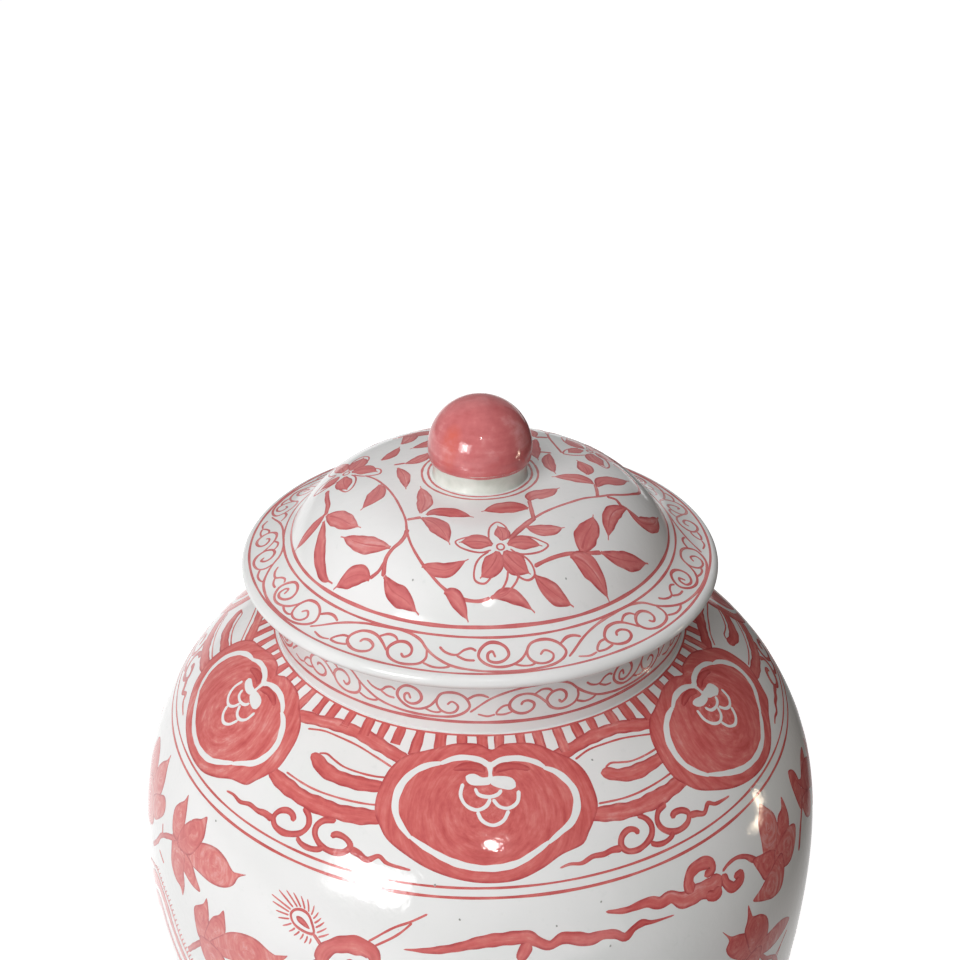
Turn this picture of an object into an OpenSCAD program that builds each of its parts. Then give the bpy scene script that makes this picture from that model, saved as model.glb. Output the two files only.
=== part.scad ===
// Lidded porcelain ginger jar: a sectional jar body with a foot ring and a short neck,
// and a domed lid with a locating flange and a ball finial. Heights are above the table.

/* [Jar] */
// Radius of the belly at its widest
belly_r = 160; // [140:1:180]
// Height of the widest part of the belly
belly_h = 209; // [190:1:225]
// Height of the joint between the shoulder and the neck
neck_base_h = 322; // [305:1:330]
// Outer radius of the neck
neck_r = 92.5; // [88:0.5:96]
// Height of the neck's top edge, where the lid rests
mouth_h = 352.5; // [345:0.5:365]
// Thickness of the jar's wall
jar_wall = 7; // [5:0.5:9]
// Thickness of the jar's floor
floor_t = 9; // [7:0.5:12]

/* [Foot] */
// Outer radius of the foot ring
foot_r = 104; // [95:1:112]
// Height of the foot ring
foot_h = 8; // [6:0.5:12]
// Width of the foot ring
foot_w = 11; // [8:0.5:14]

/* [Lid] */
// Radius of the dome where it meets the brim
dome_r = 83.4; // [81.5:0.1:86]
// Height of the dome above the brim
dome_rise = 26.2; // [15:0.1:40]
// Outer radius of the brim
brim_r = 105.5; // [102:0.5:112]
// How far the brim falls from the dome to its edge
brim_fall = 8; // [4:0.5:14]
// Thickness of the brim's rolled edge
lip_t = 6; // [5:0.5:8]
// Thickness of the lid's wall
lid_wall = 5; // [4:0.5:6]
// Outer radius of the flange that sits inside the mouth
flange_r = 84; // [83.5:0.1:84.5]
// Depth of the flange below the brim
flange_h = 14; // [8:0.5:22]
// Thickness of the flange
flange_t = 4.5; // [3.5:0.5:5]

/* [Finial] */
// Radius of the finial's ball
ball_r = 22.6; // [18:0.1:28]
// Radius of the collar where it stands on the dome
collar_r = 20.9; // [18:0.1:24]
// Height of the collar
collar_h = 8.8; // [6:0.1:14]
// How far the collar draws in at its waist
waist = 0.9; // [0:0.1:2]

/* [Hidden] */
$fn = 96;

// Exponents of the curves: a taper below the belly, a superellipse above it,
// a flat-topped dome and a hollow sweep on the brim.
taper_power = 2.1;
shoulder_power = 2.5;
shoulder_root = 2.6;
dome_power = 5.5;
brim_power = 1.5;

curve_steps = 28;
arc_steps = 8;
crown = 13.5;                             // the superellipse's apex above the neck joint
shoulder_reach = neck_base_h + crown - belly_h;
neck_wall = 6.5;
mouth_r = neck_r - neck_wall;
edge = 1.5;                               // softening of the unglazed edges
inner_fillet = 14;                        // between the floor and the wall inside
shoulder_land = 4;                        // straight stretch inside the neck joint

lip_r = lip_t / 2;
rim_h = mouth_h + 4.5;                    // the brim's top surface at its edge
brim_line_r = brim_r - lip_r;             // where the rolled edge begins
underside_land_r = neck_r + 5;            // the flat seat under the brim ends here
dome_base_h = rim_h + brim_fall;
dome_top_h = dome_base_h + dome_rise;
joint_h = dome_top_h + collar_h;          // the ball is cut flat on this plane
joint_r = ball_r - 0.4;
ball_h = joint_h + sqrt(pow(ball_r, 2) - pow(joint_r, 2));

// Outer radius of the jar at a height, below and above the belly
function lower_r(h) = belly_r
    - (belly_r - foot_r) * pow((belly_h - h) / (belly_h - foot_h), taper_power);
function upper_r(h) = belly_r
    * pow(1 - pow((h - belly_h) / shoulder_reach, shoulder_power), 1 / shoulder_root);

// Height of the dome and of the brim at a radius
function dome_z(r) = dome_base_h + dome_rise * (1 - pow(r / dome_r, dome_power));
function brim_z(r) = rim_h
    + brim_fall * pow((brim_line_r - r) / (brim_line_r - dome_r), brim_power);

// n + 1 values from a to b, evenly spaced or closer together towards b
function steps(a, b, n) = [for (i = [0:n]) a + (b - a) * i / n];
function eased(a, b, n) = [for (i = [0:n]) a + (b - a) * sin(90 * i / n)];
function arc(c, r, from, to, n) =
    [for (t = steps(from, to, n)) c + r * [cos(t), sin(t)]];
function reversed(v) = [for (i = [len(v) - 1:-1:0]) v[i]];

// An open outline moved to its left by t, along its own normals
function inset(v, t) = [for (i = [0:len(v) - 1])
    let (d = v[min(i + 1, len(v) - 1)] - v[max(i - 1, 0)])
    v[i] + t * [-d.y, d.x] / norm(d)];

// Inner radius of the lower section, its wall measured square to the surface
function lower_slope(h) = lower_r(h) - lower_r(h - 1);
function lower_inner_r(h) = lower_r(h) - jar_wall * sqrt(1 + pow(lower_slope(h), 2));

floor_top = foot_h + floor_t;
lower_outer = [for (h = steps(foot_h, belly_h, curve_steps)) [lower_r(h), h]];
wall_lean = atan(lower_slope(floor_top + inner_fillet / 2));
fillet_h = floor_top + inner_fillet * (1 - sin(wall_lean));
fillet_c = [lower_inner_r(fillet_h) - inner_fillet * cos(wall_lean), floor_top + inner_fillet];
lower_inner = concat(
    arc(fillet_c, inner_fillet, -90, -wall_lean, arc_steps),
    [for (h = steps(fillet_h + 5, belly_h, curve_steps)) [lower_inner_r(h), h]]);

upper_outer = [for (h = eased(belly_h, neck_base_h, curve_steps)) [upper_r(h), h]];
upper_inner = [for (p = inset(upper_outer, jar_wall))
    if (p.x > mouth_r && p.y < neck_base_h - shoulder_land && p.y > belly_h + 1) p];

dome_curve = [for (r = eased(0, dome_r, curve_steps)) [r, r < collar_r ? dome_top_h : dome_z(r)]];
dome_inner = [for (p = reversed(inset(dome_curve, -lid_wall))) [max(p.x, 0), p.y]];
brim_curve = [for (r = steps(dome_r, brim_line_r, arc_steps)) if (r > dome_r) [r, brim_z(r)]];
lip_curve = arc([brim_line_r, rim_h - lip_r], lip_r, 90, -90, 2 * arc_steps);

module foot_ring()
    color("wheat")
    rotate_extrude()
    polygon([[foot_r - foot_w, foot_h], [foot_r - foot_w + edge, edge],
             [foot_r - foot_w + 2 * edge, 0], [foot_r - 2 * edge, 0],
             [foot_r - edge, edge], [foot_r, foot_h]]);

module jar_lower_section()
    color("whitesmoke")
    rotate_extrude()
    polygon(concat([[0, foot_h]], lower_outer, reversed(lower_inner), [[0, floor_top]]));

module jar_shoulder_section()
    color("whitesmoke")
    rotate_extrude()
    polygon(concat([[belly_r - jar_wall, belly_h]], upper_outer,
                   [[neck_r, neck_base_h], [mouth_r, neck_base_h],
                    [mouth_r, neck_base_h - shoulder_land]],
                   reversed(upper_inner)));

module jar_neck()
    color("whitesmoke")
    rotate_extrude()
    polygon([[mouth_r, neck_base_h], [neck_r, neck_base_h], [neck_r, mouth_h - edge],
             [neck_r - edge, mouth_h], [mouth_r + edge, mouth_h], [mouth_r, mouth_h - edge]]);

module lid_shell()
    color("whitesmoke")
    rotate_extrude()
    polygon(concat(dome_curve, brim_curve, lip_curve,
                   [[underside_land_r, mouth_h], [dome_r - lid_wall, mouth_h]],
                   dome_inner));

module lid_locating_flange()
    color("linen")
    rotate_extrude()
    polygon([[flange_r - flange_t, mouth_h], [flange_r - flange_t, mouth_h - flange_h + edge],
             [flange_r - flange_t + edge, mouth_h - flange_h],
             [flange_r - edge, mouth_h - flange_h],
             [flange_r, mouth_h - flange_h + edge], [flange_r, mouth_h]]);

module finial_collar()
    color("whitesmoke")
    rotate_extrude()
    polygon(concat([[0, dome_top_h]],
                   [for (t = steps(0, 1, arc_steps))
                       [collar_r + (joint_r - collar_r) * t - waist * sin(180 * t),
                        dome_top_h + collar_h * t]],
                   [[0, joint_h]]));

module finial_ball()
    color("indianred")
    intersection() {
        translate([0, 0, ball_h]) sphere(r = ball_r);
        translate([-ball_r, -ball_r, joint_h]) cube([2 * ball_r, 2 * ball_r, 2 * ball_r]);
    }

foot_ring();
jar_lower_section();
jar_shoulder_section();
jar_neck();
lid_shell();
lid_locating_flange();
finial_collar();
finial_ball();
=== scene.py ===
"""Looks of a lidded porcelain ginger jar: turned glazed walls with hand-painted coral enamel.

The painting is thin enamel laid on the glaze. Each motif is a set of brush strokes given in the
flat chart of its own surface, in millimetres or degrees, and carried onto the turned surface.
"""

import math
import random

import bmesh
import bpy
import numpy as np
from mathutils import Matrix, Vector


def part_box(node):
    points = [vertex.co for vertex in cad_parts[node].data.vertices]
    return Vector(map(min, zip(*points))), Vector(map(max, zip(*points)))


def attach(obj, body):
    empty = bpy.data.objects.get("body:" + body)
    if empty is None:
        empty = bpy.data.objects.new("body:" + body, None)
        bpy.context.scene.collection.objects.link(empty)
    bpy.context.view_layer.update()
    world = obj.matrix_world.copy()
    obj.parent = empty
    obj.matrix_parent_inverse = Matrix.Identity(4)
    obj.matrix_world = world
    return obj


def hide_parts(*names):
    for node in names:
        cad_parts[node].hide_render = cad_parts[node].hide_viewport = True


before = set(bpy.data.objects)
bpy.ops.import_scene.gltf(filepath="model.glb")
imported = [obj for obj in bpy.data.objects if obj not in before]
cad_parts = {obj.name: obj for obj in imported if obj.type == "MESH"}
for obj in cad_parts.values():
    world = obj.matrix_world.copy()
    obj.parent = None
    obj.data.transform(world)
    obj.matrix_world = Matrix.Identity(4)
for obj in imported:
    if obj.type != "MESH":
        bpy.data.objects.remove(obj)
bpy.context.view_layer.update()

MM = 0.001
rng = random.Random(11)

# ---------------------------------------------------------------- sizes from the frame, in mm


def reach_mm(node):
    """A node's outer radius, and the heights of its foot and its top."""
    low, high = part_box(node)
    return high[0] / MM, low[2] / MM, high[2] / MM


BELLY_R, BELLY_H, NECK_BASE_H = reach_mm("jar_shoulder_section")
NECK_R, _, MOUTH_H = reach_mm("jar_neck")
FOOT_R, _, FOOT_H = reach_mm("foot_ring")
BRIM_R = reach_mm("lid_shell")[0]
FLANGE_R, FLANGE_LOW_H, _ = reach_mm("lid_locating_flange")
JOINT_R, DOME_TOP_H, JOINT_H = reach_mm("finial_collar")
BALL_R, _, BALL_TOP_H = reach_mm("finial_ball")
BALL_H = BALL_TOP_H - BALL_R

TAPER_POWER = 2.1
SHOULDER_POWER = 2.5
SHOULDER_ROOT = 2.6
CROWN = 13.5             # the shoulder curve's apex, above the neck joint
DOME_POWER = 5.5
BRIM_POWER = 1.5
JAR_WALL = 7
NECK_WALL = 6.5
LID_WALL = 5
FLOOR_T = 9
FLOOR_TOP_H = FOOT_H + FLOOR_T
FOOT_RING_W = 11
FLANGE_T = 4.5
LIP_R = 3                # the brim's rolled edge
RIM_H = MOUTH_H + 4.5    # the brim's top surface at its edge
BRIM_LINE_R = BRIM_R - LIP_R
BRIM_FALL = 8
DOME_R = 83.4
DOME_RISE = DOME_TOP_H - RIM_H - BRIM_FALL
COLLAR_R = 20.9
COLLAR_WAIST = 0.9
MOUTH_R = NECK_R - NECK_WALL
THROWN = 0.09            # size of the thrown wall's unevenness
THROWN_REACH_R = 60      # it fades towards the axis from this radius

# ---------------------------------------------------------------- outlines


def upper_r(h):
    reach = NECK_BASE_H + CROWN - BELLY_H
    rise = np.clip(h - BELLY_H, 0, None) / reach
    return BELLY_R * (1 - rise ** SHOULDER_POWER) ** (1 / SHOULDER_ROOT)


def lower_r(h):
    drop = np.clip(BELLY_H - h, 0, None) / (BELLY_H - FOOT_H)
    return BELLY_R - (BELLY_R - FOOT_R) * drop ** TAPER_POWER


def jar_r(h):
    h = np.asarray(h, float)
    return np.where(h > BELLY_H, upper_r(h), lower_r(h))


def lid_h(r):
    """Height of the lid's upper surface at a radius: dome, brim, rolled edge."""
    r = np.asarray(r, float)
    dome = RIM_H + BRIM_FALL + DOME_RISE * (1 - (np.clip(r, 0, DOME_R) / DOME_R) ** DOME_POWER)
    fall = np.clip((BRIM_LINE_R - r) / (BRIM_LINE_R - DOME_R), 0, None)
    brim = RIM_H + BRIM_FALL * fall ** BRIM_POWER
    past = np.clip(r - BRIM_LINE_R, 0, LIP_R)
    edge = RIM_H - LIP_R + np.sqrt(np.clip(LIP_R ** 2 - past ** 2, 0, None))
    return np.where(r < DOME_R, dome, np.where(r < BRIM_LINE_R, brim, edge))


def collar_r(below):
    """Radius of the collar at a distance below the ball's joint."""
    t = 1 - np.asarray(below, float) / (JOINT_H - DOME_TOP_H)
    return COLLAR_R + (JOINT_R - COLLAR_R) * t - COLLAR_WAIST * np.sin(np.pi * t)


def throwing(az, h, r):
    """Slight unevenness of a thrown and trimmed wall, as a change of radius in mm, never outwards."""
    a = np.radians(az)
    wave = np.sin(3 * a + h / 31) * np.sin(h / 19 + 1) + 0.7 * np.sin(5 * a - h / 23 + 2)
    wave = wave + 0.5 * np.sin(h / 6.5 + 0.6 * np.sin(2 * a))
    return THROWN * (wave - 2.5) * np.clip(r / THROWN_REACH_R, 0, 1) ** 2


def path_length(x, y):
    """Distance along a line of points, from 0 at its start."""
    return np.concatenate([[0], np.cumsum(np.hypot(np.diff(x), np.diff(y)))])


def around_axis(az, r, h):
    """Azimuth 0 faces the front, -Y, and grows to the right."""
    a = np.radians(az)
    return np.stack([r * np.sin(a), -r * np.cos(a), h], -1)


class Turned:
    """A turned surface of a body: azimuth in degrees, and a distance s along its outline in mm.

    s runs outwards and downwards."""

    def __init__(self, body, s, r, h):
        self.body = body
        self.s = s
        self.r = r
        self.h = h
        dr = np.gradient(r, s)
        dh = np.gradient(h, s)
        size = np.hypot(dr, dh)
        self.out_r = -dh / size
        self.out_h = dr / size

    def radius(self, s):
        return np.interp(s, self.s, self.r)

    def at(self, az, s, lift):
        r = self.radius(s)
        h = np.interp(s, self.s, self.h)
        r = r + throwing(az, h, r) + lift * np.interp(s, self.s, self.out_r)
        return around_axis(az, r, h + lift * np.interp(s, self.s, self.out_h))


def jar_surface():
    h = np.linspace(NECK_BASE_H, FOOT_H, 1600)
    r = jar_r(h)
    return Turned("jar", path_length(h, r), r, h)


def lid_surface():
    """Here s is the radius."""
    r = np.concatenate([np.linspace(0, 78, 160), np.linspace(78.2, BRIM_R - 0.05, 240)])
    return Turned("lid", r, r, lid_h(r))


def neck_surface():
    """Here s is the depth below the brim's edge."""
    depth = np.linspace(RIM_H - MOUTH_H, RIM_H - NECK_BASE_H, 60)
    return Turned("jar", depth, np.full(60, NECK_R), RIM_H - depth)


def collar_surface():
    below = np.linspace(0, JOINT_H - DOME_TOP_H, 60)
    return Turned("lid", below, collar_r(below), JOINT_H - below)


JAR = jar_surface()
LID = lid_surface()
NECK = neck_surface()
COLLAR = collar_surface()

# ---------------------------------------------------------------- materials


class Recipe:
    """A new material, with a short call for each kind of node it needs."""

    def __init__(self, name):
        self.material = bpy.data.materials.new(name)
        self.material.use_nodes = True
        self.tree = self.material.node_tree
        self.shader = self.tree.nodes["Principled BSDF"]
        self.place = self.node("TexCoord").outputs["Object"]

    def node(self, kind):
        return self.tree.nodes.new("ShaderNode" + kind)

    def feed(self, socket, item):
        """Links another node's output, or sets a plain colour or number."""
        if isinstance(item, bpy.types.NodeSocket):
            self.tree.links.new(item, socket)
        elif isinstance(item, tuple):
            socket.default_value = (*item, 1)
        else:
            socket.default_value = item

    def set(self, key, item):
        self.feed(self.shader.inputs[key], item)

    def noise(self, scale, detail=3.0, rough=0.5, place=None):
        node = self.node("TexNoise")
        self.feed(node.inputs["Vector"], self.place if place is None else place)
        self.feed(node.inputs["Scale"], scale)
        self.feed(node.inputs["Detail"], detail)
        self.feed(node.inputs["Roughness"], rough)
        return node.outputs["Fac"]

    def ramp(self, value, stops):
        node = self.node("ValToRGB")
        while len(node.color_ramp.elements) < len(stops):
            node.color_ramp.elements.new(0.5)
        for element, (position, colour) in zip(node.color_ramp.elements, stops):
            element.position = position
            element.color = (*colour, 1)
        self.feed(node.inputs["Fac"], value)
        return node.outputs["Color"]

    def span(self, value, low, high, to_low, to_high):
        """Carries the range low..high to to_low..to_high, and clamps."""
        node = self.node("MapRange")
        keys = ("Value", "From Min", "From Max", "To Min", "To Max")
        for key, item in zip(keys, (value, low, high, to_low, to_high)):
            self.feed(node.inputs[key], item)
        return node.outputs["Result"]

    def sums(self, kind, first, second):
        node = self.node("Math")
        node.operation = kind
        self.feed(node.inputs[0], first)
        self.feed(node.inputs[1], second)
        return node.outputs["Value"]

    def blend(self, *parts):
        """The sum of (value, weight) pairs."""
        total = None
        for value, weight in parts:
            part = self.sums("MULTIPLY", value, weight)
            total = part if total is None else self.sums("ADD", total, part)
        return total

    def mix(self, factor, first, second):
        node = self.node("Mix")
        node.data_type = "RGBA"
        self.feed(node.inputs["Factor"], factor)
        colours = [i for i in node.inputs if i.type == "RGBA"]
        self.feed(colours[0], first)
        self.feed(colours[1], second)
        return [o for o in node.outputs if o.type == "RGBA"][0]

    def attribute(self, name):
        node = self.node("Attribute")
        node.attribute_name = name
        return node.outputs["Fac"]

    def scaled(self, scale):
        node = self.node("Mapping")
        node.inputs["Scale"].default_value = scale
        self.feed(node.inputs["Vector"], self.place)
        return node.outputs["Vector"]

    def bump(self, height, distance, strength, normal=None):
        node = self.node("Bump")
        self.feed(node.inputs["Distance"], distance)
        self.feed(node.inputs["Strength"], strength)
        self.feed(node.inputs["Height"], height)
        if normal is not None:
            self.feed(node.inputs["Normal"], normal)
        return node.outputs["Normal"]

    def gloss(self):
        """The clear glassy skin that glaze and enamel share."""
        self.set("IOR", 1.5)
        self.set("Roughness", self.span(self.noise(35, 2), 0.3, 0.7, 0.07, 0.13))
        ripple = self.bump(self.noise(110, 1), 0.0005, 0.22)
        self.set("Normal", self.bump(self.noise(420, 2), 0.00016, 0.42, ripple))


def porcelain_glaze(name, cloud_scale, thick, usual, thin):
    """White glaze, with a grey-green cast where it lies thicker."""
    look = Recipe(name)
    cloud = look.noise(cloud_scale, 4, 0.55)
    colour = look.ramp(cloud, [(0.3, thick), (0.5, usual), (0.7, thin)])
    speckle = look.span(look.noise(260, 3, 0.6), 0.62, 0.80, 0.0, 0.25)
    look.set("Base Color", look.mix(speckle, colour, (0.60, 0.63, 0.61)))
    look.gloss()
    return look.material


def coral_enamel(name, thinness):
    """Brushed coral red: streaks along each stroke, thin pale passages, darker pooled edges."""
    look = Recipe(name)
    tone = look.attribute("tone")
    stroke = look.node("CombineXYZ")
    look.feed(stroke.inputs["X"], look.sums("MULTIPLY", look.attribute("run"), 0.06))
    look.feed(stroke.inputs["Y"], look.sums("MULTIPLY", look.attribute("side"), 0.42))
    look.feed(stroke.inputs["Z"], look.sums("MULTIPLY", tone, 40.0))
    streak = look.noise(1.0, 5, 0.6, stroke.outputs["Vector"])
    wash = look.noise(95, 4, 0.6)
    fine = look.noise(420, 3, 0.6)
    value = look.blend((streak, 0.62), (wash, 0.24), (fine, 0.14), (tone, 0.11))
    colour = look.ramp(value, [(0.32, (0.76, 0.34, 0.315)), (0.42, (0.69, 0.19, 0.172)),
                               (0.52, (0.63, 0.128, 0.118)), (0.68, (0.51, 0.072, 0.068))])
    colour = look.mix(thinness, colour, (0.70, 0.37, 0.41))
    pooled = look.span(look.attribute("edge"), 0.15, 1.25, 0.90, 0.0)
    uneven = look.span(look.noise(240, 2), 0.38, 0.6, 0.35, 1.0)
    pooled = look.sums("MULTIPLY", pooled, uneven)
    look.set("Base Color", look.mix(pooled, colour, (0.41, 0.052, 0.060)))
    look.gloss()
    return look.material


def knob_enamel():
    """The ball's coral coat: horizontal brush marks, mottling and one orange patch."""
    look = Recipe("knob_enamel")
    bands = look.noise(1.0, 3, 0.6, look.scaled((30, 30, 300)))
    wash = look.noise(85, 4, 0.6)
    value = look.blend((bands, 0.30), (wash, 0.70))
    colour = look.ramp(value, [(0.34, (0.76, 0.32, 0.32)), (0.48, (0.635, 0.175, 0.178)),
                               (0.66, (0.53, 0.118, 0.122))])
    flatten = 0.42
    away = look.node("VectorMath")
    away.operation = "DISTANCE"
    look.feed(away.inputs[0], look.scaled((1, 1, flatten)))
    away.inputs[1].default_value = (-12.5 * MM, -16.5 * MM, (BALL_H + 9) * flatten * MM)
    near = look.span(away.outputs["Value"], 0.0012, 0.0060, 0.8, 0.0)
    near = look.sums("MULTIPLY", near, look.span(wash, 0.35, 0.6, 0.2, 1.0))
    look.set("Base Color", look.mix(near, colour, (0.74, 0.13, 0.07)))
    look.gloss()
    return look.material


def bare_clay():
    """Unglazed porcelain where the pieces stand or rest: sandy, with a warm burnt edge."""
    look = Recipe("bare_clay")
    sand = look.noise(900, 4, 0.7)
    colour = look.ramp(look.noise(45, 3), [(0.35, (0.66, 0.56, 0.45)), (0.55, (0.72, 0.65, 0.56)),
                                           (0.75, (0.58, 0.42, 0.29))])
    colour = look.mix(look.span(sand, 0.55, 0.75, 0.0, 0.5), colour, (0.42, 0.33, 0.26))
    look.set("Base Color", colour)
    look.set("Roughness", 0.85)
    look.set("Normal", look.bump(sand, 0.0003, 0.5))
    return look.material


def iron_speck():
    """Iron spots that burnt through the glaze: near black inside, melting into the white."""
    look = Recipe("iron_speck")
    mottle = look.span(look.noise(2500, 2), 0.3, 0.7, 1.2, 2.6)
    depth = look.sums("MULTIPLY", look.attribute("edge"), mottle)
    look.set("Base Color", look.ramp(depth, [(0.0, (0.66, 0.68, 0.665)), (0.45, (0.33, 0.32, 0.30)),
                                             (0.9, (0.07, 0.06, 0.055))]))
    look.gloss()
    return look.material


GLAZE = porcelain_glaze("porcelain_glaze", 14, (0.770, 0.780, 0.768), (0.816, 0.812, 0.806),
                        (0.852, 0.842, 0.838))
POOLED_GLAZE = porcelain_glaze("pooled_glaze", 60, (0.585, 0.640, 0.570), (0.770, 0.810, 0.750),
                               (0.865, 0.870, 0.840))
CORAL = coral_enamel("coral_enamel", 0.03)
PALE_CORAL = coral_enamel("pale_coral_enamel", 0.17)
KNOB = knob_enamel()
CLAY = bare_clay()
SPECK = iron_speck()

# ---------------------------------------------------------------- turned pieces


def make_piece(name, body, materials, verts, faces, face_material=None, sharp=32):
    mesh = bpy.data.meshes.new(name)
    mesh.from_pydata((np.asarray(verts) * MM).tolist(), [], faces)
    for material in materials:
        mesh.materials.append(material)
    if face_material is not None:
        mesh.polygons.foreach_set("material_index", np.asarray(face_material, np.int32))
    work = bmesh.new()
    work.from_mesh(mesh)
    bmesh.ops.recalc_face_normals(work, faces=work.faces)
    work.to_mesh(mesh)
    work.free()
    mesh.shade_smooth()
    mesh.set_sharp_from_angle(angle=math.radians(sharp))
    piece = bpy.data.objects.new(name, mesh)
    bpy.context.scene.collection.objects.link(piece)
    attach(piece, body)
    return piece


def turn(name, node, body, outline, materials, pick=None, around=320):
    """A closed outline of (radius, height) points turned about the axis."""
    az = np.arange(around) * 360 / around
    verts = []
    rings = []
    for r, h in outline:
        if r < 1e-6:
            rings.append([len(verts)])
            verts.append((0.0, 0.0, h))
            continue
        rings.append(list(range(len(verts), len(verts) + around)))
        uneven_r = r + throwing(az, h, r)
        verts.extend(around_axis(az, uneven_r, np.full(around, h)).tolist())
    faces = []
    which = []
    for i, ring in enumerate(rings):
        j = (i + 1) % len(rings)
        nxt = rings[j]
        if len(ring) == 1 and len(nxt) == 1:
            continue
        material = pick(*(outline[i] + outline[j]) / 2) if pick else 0
        for k in range(around):
            m = (k + 1) % around
            if len(ring) == 1:
                faces.append((ring[0], nxt[k], nxt[m]))
            elif len(nxt) == 1:
                faces.append((ring[k], ring[m], nxt[0]))
            else:
                faces.append((ring[k], ring[m], nxt[m], nxt[k]))
            which.append(material)
    piece = make_piece(name, body, materials, verts, faces, which)
    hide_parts(node)


def arc(c, radius, start, end, n):
    t = np.radians(np.linspace(start, end, n + 1))
    return np.stack([c[0] + radius * np.cos(t), c[1] + radius * np.sin(t)], -1)


def inset(line, distance):
    """An open outline moved sideways along its own normals, to the left of its direction."""
    d = np.gradient(line, axis=0)
    normal = np.stack([-d[:, 1], d[:, 0]], -1) / np.hypot(d[:, 0], d[:, 1])[:, None]
    return line + normal * distance


def build_lower_wall():
    fillet = 14
    h = np.linspace(FOOT_H, BELLY_H, 120)
    outer = np.stack([lower_r(h), h], -1)
    inner = inset(outer, JAR_WALL)
    inner = inner[inner[:, 1] > FLOOR_TOP_H + 0.6 * fillet]
    inner[-1, 1] = BELLY_H
    bend = arc((inner[0][0] - fillet * 0.89, FLOOR_TOP_H + fillet), fillet, -90, -28, 10)
    outline = np.concatenate([[[0, FOOT_H], [60, FOOT_H]], outer, inner[::-1], bend[::-1],
                              [[50, FLOOR_TOP_H], [0, FLOOR_TOP_H]]])
    turn("lower_wall", "jar_lower_section", "jar", outline, [GLAZE])


def build_shoulder_wall():
    h = BELLY_H + (NECK_BASE_H - BELLY_H) * np.sin(np.linspace(0, np.pi / 2, 90))
    outer = np.stack([upper_r(h), h], -1)
    outer[-1, 0] = NECK_R + 0.4
    land_h = NECK_BASE_H - 4
    inner = inset(outer, JAR_WALL)
    inner = inner[(inner[:, 0] > MOUTH_R + 0.5) & (inner[:, 1] < land_h)]
    inner[0] = (BELLY_R - JAR_WALL, BELLY_H)
    outline = np.concatenate([outer, [[MOUTH_R, NECK_BASE_H], [MOUTH_R, land_h]], inner[::-1]])
    turn("shoulder_wall", "jar_shoulder_section", "jar", outline, [GLAZE])


def build_neck_wall():
    soft = 1.5
    h = np.linspace(NECK_BASE_H, MOUTH_H - soft - 0.5, 12)
    wall = np.stack([np.full(12, NECK_R), h], -1)
    outline = np.concatenate([
        wall, arc((NECK_R - soft, MOUTH_H - soft), soft, 0, 90, 6),
        arc((MOUTH_R + soft, MOUTH_H - soft), soft, 90, 180, 6), wall[::-1] - [NECK_WALL, 0]])
    turn("neck_wall", "jar_neck", "jar", outline, [GLAZE, CLAY],
         lambda r, h: int(h > MOUTH_H - 1.2))


def build_foot():
    soft, sink = 2.2, 2.6
    inner_r = FOOT_R - FOOT_RING_W
    outline = np.concatenate([
        [[inner_r, FOOT_H]], arc((inner_r + sink, soft), soft, 180, 270, 6),
        arc((FOOT_R - sink, soft), soft, 270, 360, 6),
        [[FOOT_R - 0.2, FOOT_H - 1.5], [FOOT_R, FOOT_H]]])
    turn("foot", "foot_ring", "jar", outline, [CLAY])


def build_lid_dome():
    r = np.concatenate([np.linspace(0, 60, 30), np.linspace(62, DOME_R, 60)])
    dome = np.stack([r, np.where(r < COLLAR_R, DOME_TOP_H, lid_h(r - 1e-6))], -1)
    brim_r = np.linspace(DOME_R, BRIM_LINE_R, 26)[1:-1]
    brim = np.stack([brim_r, lid_h(brim_r)], -1)
    lip = arc((BRIM_LINE_R, RIM_H - LIP_R), LIP_R, 90, -90, 16)
    under = inset(dome, -LID_WALL)
    under[0, 0] = 0
    under = under[under[:, 0] >= 0]
    seat = [[NECK_R + 6, MOUTH_H - 0.9], [NECK_R + 4, MOUTH_H], [90, MOUTH_H],
            [DOME_R - LID_WALL, MOUTH_H]]
    outline = np.concatenate([dome, brim, lip, seat, under[::-1]])
    turn("lid_dome", "lid_shell", "lid", outline, [GLAZE, CLAY],
         lambda r, h: int(abs(h - MOUTH_H) < 0.5 and r < NECK_R + 5))


def build_seating_flange():
    soft = 1.6
    inner_r = FLANGE_R - FLANGE_T
    outline = np.concatenate([
        [[inner_r, MOUTH_H], [inner_r, FLANGE_LOW_H + 3]],
        arc((inner_r + soft, FLANGE_LOW_H + soft), soft, 180, 270, 5),
        arc((FLANGE_R - soft, FLANGE_LOW_H + soft), soft, 270, 360, 5),
        [[FLANGE_R, FLANGE_LOW_H + 3], [FLANGE_R, MOUTH_H]]])
    turn("seating_flange", "lid_locating_flange", "lid", outline, [CLAY])


def build_knob():
    below = np.linspace(JOINT_H - DOME_TOP_H, 0, 24)
    outline = np.concatenate([[[0, DOME_TOP_H]], np.stack([collar_r(below), JOINT_H - below], -1),
                              [[0, JOINT_H]]])
    turn("knob_collar", "finial_collar", "lid", outline, [POOLED_GLAZE], around=192)
    start = math.degrees(math.asin((JOINT_H - BALL_H) / BALL_R))
    ball = arc((0, BALL_H), BALL_R, start, 90, 60)
    ball[-1, 0] = 0
    turn("knob_ball", "finial_ball", "lid", np.concatenate([[[0, JOINT_H]], ball]),
         [KNOB], around=192)


# ---------------------------------------------------------------- brush strokes

# Heights above the glaze, in mm: later painting lies over earlier painting.
COMB_LIFT = 0.018
LINK_LIFT = 0.026
FILM = 0.05
RESERVED_LIFT = 0.085
CURL_LIFT = 0.125
SPECK_LIFT = 0.13
SUNK = -0.05


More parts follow.
